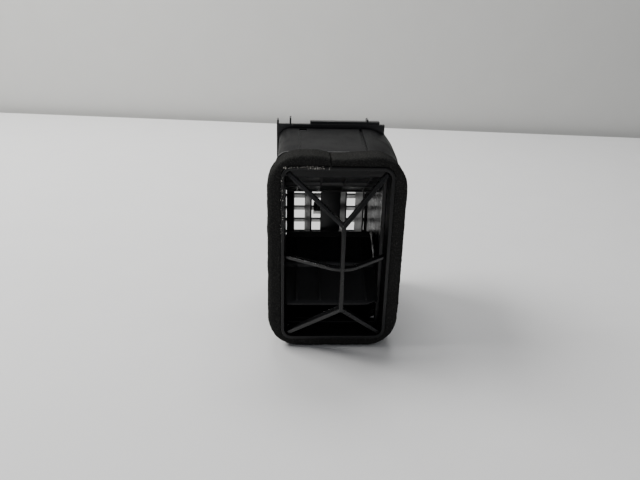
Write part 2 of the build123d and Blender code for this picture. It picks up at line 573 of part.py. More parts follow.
def idler_gear(z, first_tooth):
    """Idler on its post."""
    part = Pos(0, DAMPER_Y, z) * along_x(gear_sheet(IDLER_TEETH, first_tooth), GEAR_X0, GEAR_X0 + GEAR_T)
    return part - rod_x(POST_R + SLIP, GEAR_X0 - 1, GEAR_X0 + GEAR_T + 1, DAMPER_Y, z)


def idler_clips():
    """Push-on washers that keep the idlers on their posts."""
    x0 = GEAR_X0 + GEAR_T + 0.3
    rings = [rod_x(3.6, x0, x0 + 0.6, DAMPER_Y, z) - rod_x(POST_R + 0.02, x0 - 1, x0 + 1, DAMPER_Y, z)
             for z in idler_z()]
    return Compound(children=[ring.solids()[0] for ring in rings])


def damper_link_rod():
    """Rod between the lower gear's crank pin and the wheel's, as long as their axes are apart."""
    angle = rod_angle() + math.pi / 2 - math.radians(CRANK_BIAS)
    start = (DAMPER_Y + CRANK_R * math.cos(angle), DAMPER_Z[1] + CRANK_R * math.sin(angle))
    length = math.hypot(WHEEL_Y - DAMPER_Y, WHEEL_Z - DAMPER_Z[1])
    sheet = SlotCenterToCenter(length, ROD_W) - Pos(-length / 2, 0) * Circle(CRANK_PIN_R + SLIP)
    sheet -= Pos(length / 2, 0) * Circle(CRANK_PIN_R + SLIP)
    sheet -= SlotCenterToCenter(length - 16, 1.6)
    middle = Pos(*start) * Rot(0, 0, math.degrees(rod_angle())) * Pos(length / 2, 0)
    return along_x(middle * sheet, ROD_X0, ROD_X0 + ROD_T)


# ---------------------------------------------------------------- thumbwheel
def thumbwheel():
    """Wheel with hub, web and rim, and the crank pin on the side of its web."""
    web_x0, web_x1 = WHEEL_X0 + 1.6, WHEEL_X1 - 1.4
    rim_r = WHEEL_R - 1.2
    part = rod_x(rim_r, WHEEL_X0, WHEEL_X1) - rod_x(rim_r - 2.4, WHEEL_X0 - 1, WHEEL_X1 + 1)
    part += rod_x(rim_r - 2, web_x0, web_x1)
    part += rod_x(HUB_R, WHEEL_X0 - 1.6, WHEEL_X1)
    for i in range(6):
        hole = Rot(60 * i + 30, 0, 0) * rod_x(3.4, WHEEL_X0, WHEEL_X1, 13.6)
        part -= hole
    part = Pos(0, WHEEL_Y, WHEEL_Z) * part
    part -= rod_x(AXLE_R + SLIP, WHEEL_X0 - 3, WHEEL_X1 + 1, WHEEL_Y, WHEEL_Z)
    return part + crank_pin(WHEEL_Y, WHEEL_Z, ROD_X0 - 0.2, web_x0 + 0.5)


def wheel_grip():
    """Soft ribbed tyre on the wheel's rim."""
    inner = WHEEL_R - 1.18
    part = rod_x(WHEEL_R - 0.5, WHEEL_X0 + 0.3, WHEEL_X1 - 0.3)
    count = 60
    for i in range(count):
        ridge = block(WHEEL_X0 + 0.3, WHEEL_X1 - 0.3, WHEEL_R - 0.8, WHEEL_R, -0.45, 0.45)
        part += Rot(360 / count * i, 0, 0) * ridge
    part -= rod_x(inner, WHEEL_X0 - 1, WHEEL_X1 + 1)
    return Pos(0, WHEEL_Y, WHEEL_Z) * part


def wheel_axle():
    """Steel pin of the thumbwheel, pressed into the bezel."""
    return rod_x(AXLE_R, AIR_X1 + 0.5, FLANGE_X1 - 0.9, WHEEL_Y, WHEEL_Z)


# ---------------------------------------------------------------- write every node
def write_fixed_parts():
    save(inlet_collar(), "inlet_collar")
    save(inlet_guard(), "inlet_guard")
    save(foam_gasket(), "foam_gasket")
    save(main_housing(), "main_housing")
    save(side_cover(), "side_cover")
    save(gear_plate(), "gear_plate")
    save(housing_screws(), "housing_screws")
    save(bezel(), "bezel")
    save(level_rail(AIR_X0 + 0.05, HVANE_X0 - 0.2), "vane_rail_left")
    save(level_rail(HVANE_X1 + 0.2, AIR_X1 - 0.05), "vane_rail_right")
    save(upright_rail(AIR_Z1 - 1.85, AIR_Z1 - 0.05), "vane_rail_top")
    save(upright_rail(AIR_Z0 + 0.05, AIR_Z0 + 1.85), "vane_rail_bottom")
    save(dash_clips(), "dash_clips")
    save(idler_clips(), "idler_clips")
    save(wheel_axle(), "wheel_axle")


def write_vanes():
    for i in range(HVANE_COUNT):
        save(hvane_place(i) * level_vane(), f"level_vane_{i + 1:02d}")
    save(level_link(), "level_vane_link")
    middle = hvane_place(HVANE_COUNT // 2)
    for make, node in ((knob_body, "knob_body"), (knob_fork, "knob_fork"), (knob_grip, "knob_grip")):
        save(Pos(knob_x(), 0, 0) * middle * make(), node)
    for i in range(VVANE_COUNT):
        vane = drive_vane() if i == VVANE_COUNT // 2 else upright_vane()
        save(vvane_place(i) * vane, f"upright_vane_{i + 1}")
    save(vvane_place(VVANE_COUNT // 2) * drive_paddle(), "drive_paddle")
    save(upright_link(), "upright_vane_link")


def write_damper():
    down, up = -math.pi / 2, math.pi / 2
    half_blade, half_idler = math.pi / BLADE_TEETH, math.pi / IDLER_TEETH
    upper_z, lower_z = idler_z()
    for i, name in enumerate(("upper", "lower")):
        save(damper_place(i) * damper_blade(BLADE_REAR[i]), f"{name}_damper_blade")
        save(damper_place(i) * blade_seal(), f"{name}_blade_seal")
    save(blade_gear(0, down), "upper_blade_gear")
    # an even number of idler teeth puts a gap opposite a gap, so the phases step down the train
    save(idler_gear(upper_z, up + half_idler), "upper_idler_gear")
    save(idler_gear(lower_z, up), "lower_idler_gear")
    lower = blade_gear(1, up + half_blade)
    pin = crank_pin(DAMPER_Y, DAMPER_Z[1], GEAR_X0 + GEAR_T - 0.5, ROD_X0 + ROD_T + 0.2)
    save(lower + pin, "lower_blade_gear")
    save(damper_link_rod(), "damper_link_rod")
    save(thumbwheel(), "thumbwheel")
    save(wheel_grip(), "wheel_grip")


write_fixed_parts()
write_vanes()
write_damper()
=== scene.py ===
import json
import math
import random

import bmesh
import bpy
from mathutils import Matrix, Vector, noise

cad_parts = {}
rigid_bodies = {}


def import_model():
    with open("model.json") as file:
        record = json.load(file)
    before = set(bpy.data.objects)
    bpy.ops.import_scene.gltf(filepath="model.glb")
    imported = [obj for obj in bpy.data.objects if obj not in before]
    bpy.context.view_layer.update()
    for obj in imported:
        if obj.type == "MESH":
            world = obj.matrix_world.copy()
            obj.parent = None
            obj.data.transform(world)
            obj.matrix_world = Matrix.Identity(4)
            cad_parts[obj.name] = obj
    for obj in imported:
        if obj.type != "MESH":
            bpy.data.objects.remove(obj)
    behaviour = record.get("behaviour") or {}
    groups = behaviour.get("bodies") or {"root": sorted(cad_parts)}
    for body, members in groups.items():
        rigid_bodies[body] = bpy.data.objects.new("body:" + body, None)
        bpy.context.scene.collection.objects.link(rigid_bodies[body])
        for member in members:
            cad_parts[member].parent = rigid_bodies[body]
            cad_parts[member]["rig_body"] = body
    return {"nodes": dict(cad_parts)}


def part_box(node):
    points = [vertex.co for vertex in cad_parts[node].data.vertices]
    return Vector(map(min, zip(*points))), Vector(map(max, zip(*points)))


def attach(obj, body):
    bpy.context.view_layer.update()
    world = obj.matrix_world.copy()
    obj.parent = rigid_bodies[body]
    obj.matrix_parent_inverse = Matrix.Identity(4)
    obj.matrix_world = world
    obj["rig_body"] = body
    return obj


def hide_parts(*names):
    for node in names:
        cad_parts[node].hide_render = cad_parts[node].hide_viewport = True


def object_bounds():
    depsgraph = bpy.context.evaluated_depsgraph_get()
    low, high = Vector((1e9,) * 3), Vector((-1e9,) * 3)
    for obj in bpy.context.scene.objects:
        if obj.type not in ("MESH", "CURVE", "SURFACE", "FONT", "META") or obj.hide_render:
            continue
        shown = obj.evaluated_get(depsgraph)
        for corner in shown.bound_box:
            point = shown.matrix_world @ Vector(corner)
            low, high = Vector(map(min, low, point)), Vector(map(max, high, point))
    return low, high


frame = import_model()
cad_low, cad_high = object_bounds()

# Dashboard air outlet seen from its duct inlet. Metres, in the CAD model's frame: the origin is the
# centre of the inlet's rim, +X is right, +Y runs with the air to the bezel and +Z is up.
MM = 0.001
NODES = frame["nodes"]
random.seed(7)


# ---------------------------------------------------------------- mesh helpers
BEVEL_SEGMENTS = 2
FLAT_EDGE, HARD_EDGE, SMOOTH_EDGE = 0.6, 30, 40     # degrees: dissolved, bevelled, shaded sharp
SAME_POINT = 0.001 * MM


def new_piece(name, bm, material, body, slot_name, *stands_for):
    """Turn a bmesh into a piece that rides on a body and takes the given material; the slot name is not
    used.
    """
    mesh = bpy.data.meshes.new(name)
    bm.to_mesh(mesh)
    bm.free()
    piece = bpy.data.objects.new(name, mesh)
    bpy.context.scene.collection.objects.link(piece)
    mesh.materials.append(material)
    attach(piece, body)
    if stands_for:
        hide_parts(*stands_for)
    return piece


def smooth_by_angle(mesh, degrees):
    """Shade smooth, but keep edges sharp where the faces turn by more than this."""
    mesh.shade_smooth()
    mesh.set_sharp_from_angle(angle=math.radians(degrees))


def bevel(piece, width):
    """Round the piece's hard edges and apply the result to its mesh."""
    modifier = piece.modifiers.new("edges", "BEVEL")
    modifier.width = width
    modifier.segments = BEVEL_SEGMENTS
    modifier.limit_method = "ANGLE"
    modifier.angle_limit = math.radians(HARD_EDGE)
    modifier.use_clamp_overlap = False
    modifier.miter_outer = "MITER_ARC"
    apply_modifiers(piece)


def apply_modifiers(piece):
    """Replace the piece's mesh with what its modifiers make of it."""
    graph = bpy.context.evaluated_depsgraph_get()
    mesh = bpy.data.meshes.new_from_object(piece.evaluated_get(graph))
    old = piece.data
    piece.modifiers.clear()
    piece.data = mesh
    bpy.data.meshes.remove(old)


def rounded_copy(node, material, slot_name, width):
    """Stand in for a CAD node with a copy whose hard edges are rounded, as on moulded plastic."""
    bm = bmesh.new()
    bm.from_mesh(NODES[node].data)
    bmesh.ops.remove_doubles(bm, verts=bm.verts, dist=SAME_POINT)
    bmesh.ops.dissolve_limit(bm, angle_limit=math.radians(FLAT_EDGE), verts=bm.verts, edges=bm.edges)
    piece = new_piece(node + "_moulded", bm, material, NODES[node]["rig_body"], slot_name, node)
    bevel(piece, width)
    smooth_by_angle(piece.data, SMOOTH_EDGE)


# ---------------------------------------------------------------- material helpers
NEUTRAL = (1.0, 1.0, 1.0)
COLOUR_A, COLOUR_B, COLOUR_OUT = 6, 7, 2            # the Mix node's sockets for colours
BEVEL_SAMPLES = 4


class Graph:
    """Short calls for building a node tree."""

    def __init__(self, name):
        self.material = bpy.data.materials.new(name)
        self.material.use_nodes = True
        self.tree = self.material.node_tree
        self.shader = self.tree.nodes["Principled BSDF"]
        self.place = self.add("ShaderNodeTexCoord").outputs["Object"]

    def add(self, kind, **settings):
        node = self.tree.nodes.new(kind)
        for key, value in settings.items():
            setattr(node, key, value)
        return node

    def link(self, source, target):
        self.tree.links.new(source, target)

    def feed(self, socket, value):
        """Set a socket to a number or colour, or link another node's output to it."""
        if isinstance(value, (int, float, tuple)):
            socket.default_value = value
        else:
            self.link(value, socket)

    def maths(self, operation, a, b=0.0, clamp=False):
        node = self.add("ShaderNodeMath", operation=operation, use_clamp=clamp)
        self.feed(node.inputs[0], a)
        self.feed(node.inputs[1], b)
        return node.outputs[0]

    def stretch(self, scale):
        """The surface's place, scaled differently along X, Y and Z."""
        node = self.add("ShaderNodeMapping")
        self.link(self.place, node.inputs["Vector"])
        node.inputs["Scale"].default_value = scale
        return node.outputs[0]

    def noise(self, size, detail=3.0, rough=0.55, place=None):
        """Noise whose features are about this many metres across, from 0 to 1."""
        node = self.add("ShaderNodeTexNoise")
        self.link(place or self.place, node.inputs["Vector"])
        node.inputs["Scale"].default_value = 1 / size
        node.inputs["Detail"].default_value = detail
        node.inputs["Roughness"].default_value = rough
        return node.outputs["Fac"]

    def cells(self, size, feature="F1"):
        """Distance to the nearest cell's centre, for cells about this many metres across."""
        node = self.add("ShaderNodeTexVoronoi", feature=feature)
        self.link(self.place, node.inputs["Vector"])
        node.inputs["Scale"].default_value = 1 / size
        return node.outputs["Distance"]

    def remap(self, value, low, high, to_low=0.0, to_high=1.0):
        """Carry low..high over to to_low..to_high, with soft ends."""
        node = self.add("ShaderNodeMapRange", interpolation_type="SMOOTHSTEP")
        for socket, number in zip(node.inputs, (value, low, high, to_low, to_high)):
            self.feed(socket, number)
        return node.outputs[0]

    def mix(self, share, a, b):
        """A colour between a and b."""
        node = self.add("ShaderNodeMix", data_type="RGBA")
        self.feed(node.inputs[0], share)
        self.feed(node.inputs[COLOUR_A], a)
        self.feed(node.inputs[COLOUR_B], b)
        return node.outputs[COLOUR_OUT]

    def rounding(self, radius):
        """The surface's normal with the edges rounded."""
        node = self.add("ShaderNodeBevel", samples=BEVEL_SAMPLES)
        node.inputs["Radius"].default_value = radius
        return node.outputs[0]

    def edges(self, radius):
        """1 on edges that stand out or turn in, and 0 on flat faces."""
        flat = self.add("ShaderNodeNewGeometry")
        dot = self.add("ShaderNodeVectorMath", operation="DOT_PRODUCT")
        self.link(self.rounding(radius), dot.inputs[0])
        self.link(flat.outputs["Normal"], dot.inputs[1])
        return self.remap(dot.outputs["Value"], 0.995, 0.80)

    def bump(self, height, depth, onto=None):
        """Bump of a height from 0 to 1, this many metres deep."""
        node = self.add("ShaderNodeBump")
        node.inputs["Distance"].default_value = depth
        self.feed(node.inputs["Height"], height)
        if onto is not None:
            self.link(onto, node.inputs["Normal"])
        return node.outputs[0]

    def finish(self, colour, roughness, normal, **constants):
        """Join everything to the shader; constants name its other sockets."""
        self.feed(self.shader.inputs["Base Color"], colour)
        self.feed(self.shader.inputs["Roughness"], roughness)
        self.feed(self.shader.inputs["Normal"], normal)
        for key, value in constants.items():
            self.shader.inputs[key.replace("_", " ")].default_value = value
        return self.material


def grey(level, tint=NEUTRAL):
    """A grey of this linear level, tinted, as an opaque colour."""
    return tuple(level * t for t in tint) + (1.0,)


# ---------------------------------------------------------------- materials
COMMON = (0.3, 0.7)                # noise mostly lies between these two values


def moulded_plastic(name, level, roughness, grain=0.45 * MM, depth=0.012 * MM, dust=0.25,
                    tint=(0.98, 1.0, 1.06), edge=0.25 * MM, specular=0.5, wear_and_highlight_gain=2.6):
    """Black moulded plastic: eroded grain, uneven gloss, a film of dust, and edges lightened partly by
    scuffing and partly as a painted highlight.
    """
    g = Graph(name)
    patches = g.noise(14 * MM, 4.0)
    along_y = g.stretch((1.0, 0.16, 1.0))
    streaks = g.noise(2.2 * MM, 4.0, 0.6, along_y)
    specks = g.remap(g.noise(0.7 * MM, 5.0, 0.7), 0.60, 0.74)
    edge_share = g.edges(edge)
    base = g.mix(patches, grey(level * 0.8, tint), grey(level * 1.25, tint))
    # Lighter edges: scuffed plastic, and a painted highlight where the gain runs far past scuffing, as on
    # the collar and guard.
    wear_and_highlight_share = g.maths("MULTIPLY", edge_share, g.remap(patches, *COMMON, 0.25, 0.8))
    worn_and_highlit = g.mix(wear_and_highlight_share, base, grey(level * wear_and_highlight_gain + 0.012, tint))
    film = g.maths("MULTIPLY", g.remap(streaks, 0.45, 0.8), dust)
    dusty = g.mix(g.maths("MULTIPLY", film, specks, True), worn_and_highlit, grey(0.16, (1.0, 0.97, 0.9)))
    soft = g.remap(patches, *COMMON, roughness - 0.05, roughness + 0.07)
    gloss = g.maths("SUBTRACT", soft, g.maths("MULTIPLY", edge_share, 0.16))
    gloss = g.maths("ADD", gloss, g.maths("MULTIPLY", film, 0.5), True)
    pits = g.bump(g.cells(grain, "SMOOTH_F1"), depth, g.rounding(edge))
    waves = g.bump(g.noise(5 * MM, 2.0), 0.03 * MM, pits)
    return g.finish(dusty, gloss, waves, Specular_IOR_Level=specular, IOR=1.49)


def foam_rubber(name):
    """Charcoal open-cell foam: torn cells, dust in the cells, and painted shade that leaves the cells'
    hollows darker and their ridges lighter and slightly olive.
    """
    g = Graph(name)
    cells = g.cells(0.85 * MM)
    small = g.cells(0.42 * MM)
    cloudy = g.noise(9 * MM, 5.0, 0.6)
    tone = g.mix(cloudy, grey(0.008, (1.0, 0.99, 0.98)), grey(0.019, (1.0, 1.0, 0.97)))
    # Painted shade: darker in the cells' hollows, lighter and slightly olive on the raised ridges.
    hollow = g.remap(cells, 0.18, 0.62)
    tone = g.mix(g.maths("MULTIPLY", hollow, 0.75), grey(0.036, (1.0, 1.0, 0.96)), tone)
    lint = g.remap(g.noise(0.55 * MM, 6.0, 0.75), 0.66, 0.77)
    tone = g.mix(g.maths("MULTIPLY", lint, 0.30), tone, grey(0.20, (1.0, 0.98, 0.9)))
    deep = g.bump(g.maths("SUBTRACT", 1.0, hollow), 0.28 * MM)
    fine = g.bump(small, 0.10 * MM, deep)
    return g.finish(tone, g.remap(cloudy, *COMMON, 0.86, 0.97), fine,
                    Specular_IOR_Level=0.0)


def soft_rubber(name):
    """Soft-touch rubber: dense, matt and lightly polished where fingers stroke it."""
    g = Graph(name)
    patches = g.noise(4 * MM, 4.0)
    edge_share = g.edges(0.3 * MM)
    tone = g.mix(patches, grey(0.014), grey(0.024))
    tone = g.mix(g.maths("MULTIPLY", edge_share, 0.5), tone, grey(0.05))
    gloss = g.maths("SUBTRACT", g.remap(patches, *COMMON, 0.68, 0.84), g.maths("MULTIPLY", edge_share, 0.2))
    grain = g.bump(g.noise(0.18 * MM, 3.0), 0.012 * MM)
    return g.finish(tone, gloss, grain, Sheen_Weight=0.08, Specular_IOR_Level=0.4)


def bearing_plastic(name, colour):
    """Natural acetal or nylon: waxy, pale and slightly translucent, with faint flow marks."""
    g = Graph(name)
    flow = g.noise(3 * MM, 3.0, 0.5, g.stretch((0.4, 1.0, 1.0)))
    edge_share = g.edges(0.2 * MM)
    dark = tuple(c * 0.78 for c in colour[:3]) + (1.0,)
    tone = g.mix(flow, dark, colour)
    tone = g.mix(g.maths("MULTIPLY", edge_share, 0.25), tone, (0.9, 0.9, 0.86, 1.0))
    grain = g.bump(g.noise(0.3 * MM, 4.0), 0.008 * MM)
    return g.finish(tone, g.remap(flow, *COMMON, 0.32, 0.46), grain, Subsurface_Weight=0.08,
                    Subsurface_Scale=0.002)


def worked_steel(name, level, roughness, along):
    """Steel with drawing marks along one direction, a little tarnish and bright edges."""
    g = Graph(name)
    marks = g.noise(0.12 * MM, 4.0, 0.6, g.stretch(along))
    tarnish = g.remap(g.noise(2.5 * MM, 5.0, 0.65), 0.42, 0.72)
    edge_share = g.edges(0.12 * MM)
    steel = (1.0, 0.99, 0.97)
    tone = g.mix(marks, grey(level * 0.8, steel), grey(level * 1.1, steel))
    tone = g.mix(g.maths("MULTIPLY", tarnish, 0.45), tone, grey(level * 0.42, (1.1, 0.95, 0.8)))
    tone = g.mix(g.maths("MULTIPLY", edge_share, 0.6), tone, grey(0.75))
    gloss = g.maths("ADD", g.maths("MULTIPLY", marks, 0.16), roughness - 0.08)
    gloss = g.maths("ADD", gloss, g.maths("MULTIPLY", tarnish, 0.2), True)
    return g.finish(tone, gloss, g.bump(marks, 0.006 * MM), Metallic=1.0)


def dried_glue(name):
    """Dried, slightly yellowed adhesive."""
    g = Graph(name)
    blotch = g.noise(0.8 * MM, 4.0)
    tone = g.mix(blotch, grey(0.30, (1.0, 0.95, 0.82)), grey(0.62, (1.0, 0.97, 0.9)))
    return g.finish(tone, g.remap(blotch, *COMMON, 0.35, 0.65), g.bump(blotch, 0.05 * MM))


def tabletop(name, level, tint):
    """Pale painted board, faintly mottled."""
    g = Graph(name)
    mottle = g.noise(40 * MM, 5.0)
    tone = g.mix(mottle, grey(level * 0.97, tint), grey(level * 1.03, tint))
    paint = g.bump(g.noise(1.5 * MM, 3.0), 0.01 * MM)
    return g.finish(tone, g.remap(mottle, *COMMON, 0.62, 0.72), paint, Specular_IOR_Level=0.3)


PLASTIC = moulded_plastic("housing_plastic", 0.007, 0.46, dust=0.10, specular=0.06, wear_and_highlight_gain=5.0)
# Gear plate: darker than the housing plastic, as painted shade on this inner duct wall; its higher gloss and
# lower specular are its own.
AIRWAY = moulded_plastic("airway_plastic_painted_shade", 0.005, 0.28, grain=1.2 * MM, depth=0.004 * MM, dust=0.08,
                         specular=0.025)
# Collar: its rim's edges lightened far past scuffing, as a painted highlight.
COLLAR = moulded_plastic("collar_plastic_painted_highlight", 0.006, 0.36, grain=0.6 * MM, depth=0.008 * MM, dust=0.3,
                         edge=0.42 * MM, specular=0.30, wear_and_highlight_gain=11.0)
BEZEL = moulded_plastic("bezel_plastic", 0.014, 0.46, grain=0.5 * MM, depth=0.016 * MM, dust=0.2)
# Guard: darker than the housing plastic as painted shade on the rib faces, and edges lightened far past
# scuffing as a painted highlight.
GUARD = moulded_plastic("guard_plastic_painted_shade_and_highlight", 0.005, 0.27, grain=0.6 * MM, depth=0.004 * MM, dust=0.05,
                        edge=0.42 * MM, specular=0.40, wear_and_highlight_gain=16.0)
VANE = moulded_plastic("vane_plastic", 0.013, 0.38, grain=0.4 * MM, depth=0.008 * MM, dust=0.2)
BLADE = moulded_plastic("blade_plastic", 0.014, 0.44, grain=0.5 * MM, depth=0.010 * MM, dust=0.3)
KNOB = moulded_plastic("knob_plastic", 0.012, 0.30, grain=0.4 * MM, depth=0.006 * MM, dust=0.1)
BEARING = bearing_plastic("bearing_plastic", (0.035, 0.035, 0.037, 1.0))
GEAR = bearing_plastic("gear_acetal", (0.70, 0.69, 0.64, 1.0))
FOAM = foam_rubber("foam_rubber")
SOFT = soft_rubber("soft_touch")
SCREW = worked_steel("screw_steel", 0.42, 0.34, (0.3, 1.0, 1.0))
SPRING = worked_steel("spring_steel", 0.36, 0.30, (1.0, 0.12, 1.0))
GLUE = dried_glue("dried_glue")

FINISHES = {"housing": PLASTIC, "bezel": BEZEL, "vane": VANE, "blade": BLADE, "knob": KNOB,
            "bearing": BEARING, "gear": GEAR, "foam": FOAM, "soft_touch": SOFT,
            "screw_steel": SCREW, "spring_steel": SPRING}
# These parts take copies of the moulded plastic with painted shade and painted highlight in their colour, as
# noted where each is made.
OWN_FINISH_AND_PAINTED_LIGHT = {"inlet_guard": GUARD, "inlet_collar": COLLAR, "gear_plate": AIRWAY}


# ---------------------------------------------------------------- foam strip
FOAM_LOW, FOAM_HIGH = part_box("foam_gasket")
FOAM_CORNER = 21 * MM              # outside corner radius of the wound strip
SPIGOT = Vector((34 * MM, 0, 58 * MM))       # half size of the spigot that it is wound on
SPIGOT_CORNER = 7 * MM
JOINT_X = -4.5 * MM                # the strip's ends meet on the top, left of the middle
END_STEP = 2.1 * MM                # the end that was laid last stands this much higher
END_GAP = 0.25 * MM                # from each end to the joint
STRIP_STATIONS = 560
SNUG = 0.05 * MM                   # the strip's inside stands this far off the spigot
# corner radii of the section: outer rear, inner rear, inner front, outer front
STRIP_CORNERS = (2.6 * MM, 0.7 * MM, 0.7 * MM, 3.2 * MM)
STEPS_ACROSS, STEPS_ALONG, STEPS_ROUND = 9, 20, 5    # points of the section
PRESSED_LENGTH = 34 * MM           # the first end is thinner as far as this from the joint
TAPER_LAST, TAPER_FIRST = (16, 0.26), (5, 0.10)      # stations and share that an end thins by
# the foam's uneven surface: size across and height of its swells, lumps, cells and tears
SWELL, LUMP = (9 * MM, 0.34 * MM), (2.4 * MM, 0.12 * MM)
CELL, TEAR = (0.9 * MM, 0.10 * MM), (0.7 * MM, 0.16 * MM)
HELD = 1.5 * MM                    # nearer the spigot than this, the foam can't swell freely
FRONT_FACE = 1 * MM                # the front's cells are cut open as far back as this


def outer_point(distance):
    """Point of the wound strip's outside, this far clockwise from the middle of its top."""
    straight_x, straight_z = FOAM_HIGH.x - FOAM_CORNER, FOAM_HIGH.z - FOAM_CORNER
    arc = FOAM_CORNER * math.pi / 2
    runs = (straight_x, 2 * straight_z, 2 * straight_x, 2 * straight_z, straight_x)
    place, heading = Vector((0, 0, FOAM_HIGH.z)), 0.0
    for length in runs:
        step = min(distance, length)
        place += Vector((math.cos(heading), 0, math.sin(heading))) * step
        distance -= step
        if distance <= 0:
            return place
        turn = min(distance, arc) / FOAM_CORNER
        centre = place + Vector((math.sin(heading), 0, -math.cos(heading))) * FOAM_CORNER
        place = centre + Matrix.Rotation(turn, 3, "Y") @ (place - centre)
        heading -= turn
        distance -= min(distance, arc)
        if distance <= 0:
            return place
    return place


def spigot_point(outer):
    """The nearest point of the spigot's outside."""
    core = Vector((max(-SPIGOT.x + SPIGOT_CORNER, min(SPIGOT.x - SPIGOT_CORNER, outer.x)), 0,
                   max(-SPIGOT.z + SPIGOT_CORNER, min(SPIGOT.z - SPIGOT_CORNER, outer.z))))
    return core + (outer - core).normalized() * (SPIGOT_CORNER + SNUG)


def strip_section(thickness, width):
    """Section of the strip as (outward, along) pairs: soft outer corners, tight inner ones."""
    radii = [min(radius, thickness * 0.45) for radius in STRIP_CORNERS]
    r0, r1, r2, r3 = radii
    centres = ((thickness - r0, width - r0), (r1, width - r1), (r2, r2), (thickness - r3, r3))

    def on_corner(quarter, angle):
        out, along = centres[quarter]
        return (out + radii[quarter] * math.cos(angle), along + radii[quarter] * math.sin(angle))

    points = []
    for quarter in range(4):
        for i in range(STEPS_ROUND + 1):
            points.append(on_corner(quarter, (quarter + i / STEPS_ROUND) * math.pi / 2))
        start = points[-1]
        end = on_corner((quarter + 1) % 4, (quarter + 1) * math.pi / 2)
        steps = STEPS_ACROSS if quarter % 2 == 0 else STEPS_ALONG
        for i in range(1, steps):
            share = i / steps
            points.append((start[0] + (end[0] - start[0]) * share, start[1] + (end[1] - start[1]) * share))
    return points


def strip_height(x, on_top, laid_last):
    """How much of its full thickness the strip has left: the first end was pressed thinner."""
    if not on_top or laid_last:
        return 1.0
    away = max(0.0, min(1.0, (x - JOINT_X) / PRESSED_LENGTH))
    full = FOAM_HIGH.z - SPIGOT.z
    return 1.0 - END_STEP / full * (1 - away * away * (3 - 2 * away))


def torn_surface(place, out, away, along):
    """Lumps and torn cells: how far a point of the strip is moved, less so near the spigot."""
    lumps = noise.noise(place / SWELL[0]) * SWELL[1] + noise.noise(place / LUMP[0]) * LUMP[1]
    cells = noise.cell(place / CELL[0]) * CELL[1] + noise.noise(place / TEAR[0]) * TEAR[1]
    free = min(1.0, away / HELD)
    front = 1.0 if along < FRONT_FACE else 0.3
    return out * (lumps + cells) * free + Vector((0, -1, 0)) * (lumps * 0.8 + cells) * front * free


def foam_strip():
    """Foam strip wound round the spigot, with a butt joint on its top and torn cells all over."""
    straight_x, straight_z = FOAM_HIGH.x - FOAM_CORNER, FOAM_HIGH.z - FOAM_CORNER
    total = 4 * (straight_x + straight_z) + 2 * math.pi * FOAM_CORNER
    width = FOAM_HIGH.y - FOAM_LOW.y
    bm = bmesh.new()
    rings = []
    for i in range(STRIP_STATIONS + 1):
        distance = JOINT_X + END_GAP + (total - 2 * END_GAP) * i / STRIP_STATIONS
        outer = outer_point(distance % total)
        inner = spigot_point(outer)
        on_top = outer.z > SPIGOT.z
        laid_last = i > STRIP_STATIONS / 2
        thickness = (outer - inner).length * strip_height(outer.x, on_top, laid_last)
        out = (outer - inner).normalized()
        taper, thinning = TAPER_LAST if laid_last else TAPER_FIRST
        end = min(i, STRIP_STATIONS - i) / taper
        pinch = 1 - thinning * max(0.0, 1 - end) ** 2
        ring = []
        for away, along in strip_section(thickness * pinch, width):
            place = inner + out * away + Vector((0, FOAM_LOW.y + along, 0))
            ring.append(bm.verts.new(place + torn_surface(place, out, away, along)))
        rings.append(ring)
    for a, b in zip(rings, rings[1:]):
        for k in range(len(a)):
            following = (k + 1) % len(a)
            bm.faces.new((a[k], b[k], b[following], a[following]))
    bm.faces.new(rings[0])
    bm.faces.new(list(reversed(rings[-1])))
    bmesh.ops.recalc_face_normals(bm, faces=bm.faces)
    piece = new_piece("foam_strip", bm, FOAM, "housing", "foam", "foam_gasket")
    piece.data.shade_smooth()


# ---------------------------------------------------------------- traces of use
CRUMB_THICKNESS = 0.14 * MM
CRUMB_WARP, CRUMB_WARP_SIZE = 0.05 * MM, 0.2 * MM
CRUMBS_TOP, CRUMBS_HEAP, CRUMBS_SIDE = 46, 40, 30    # along the rim's top, heaped on it, along its left
NOISE_SHIFTS = (Vector((9.3, -1.5, -8.0)), Vector((0, 0, 0)), Vector((6.3, 0.2, -2.7)))


def noise_3d(place):
    """Three unrelated noise values as a vector. noise.noise_vector differs from run to run."""
    return Vector([noise.noise(place + shift) for shift in NOISE_SHIFTS])


def glue_traces():
    """Crumbs and smears of dried adhesive along the rim, where the foam was pressed on."""
    bm = bmesh.new()
    rim_z = SPIGOT.z - 0.2 * MM
    crumbs = [(random.uniform(-33, -5) * MM, rim_z + random.uniform(-0.9, 0.6) * MM)
              for _ in range(CRUMBS_TOP)]
    crumbs += [(random.gauss(-15, 4) * MM, rim_z + random.uniform(-1.0, 0.8) * MM)
               for _ in range(CRUMBS_HEAP)]
    crumbs += [(-SPIGOT.x + random.uniform(-0.2, 1.2) * MM, random.uniform(10, 52) * MM)
               for _ in range(CRUMBS_SIDE)]
    for x, z in crumbs:
        length = random.uniform(0.25, 0.9) * MM
        turn = Matrix.Rotation(random.uniform(0, math.pi), 4, "Y")
        scale = Matrix.Diagonal((length, CRUMB_THICKNESS, length * random.uniform(0.2, 0.5), 1))
        place = Matrix.Translation((x, -0.02 * MM, z)) @ turn @ scale
        made = bmesh.ops.create_icosphere(bm, subdivisions=2, radius=0.5, matrix=place)
        for v in made["verts"]:
            v.co += noise_3d(v.co / CRUMB_WARP_SIZE) * CRUMB_WARP
    piece = new_piece("glue_traces", bm, GLUE, "housing", "foam")
    piece.data.shade_smooth()


# ---------------------------------------------------------------- finish of every CAD node
ROUNDING = {"inlet_guard": 0.16 * MM, "inlet_collar": 0.16 * MM, "drive_paddle": 0.2 * MM,
            "upper_damper_blade": 0.2 * MM, "lower_damper_blade": 0.2 * MM}


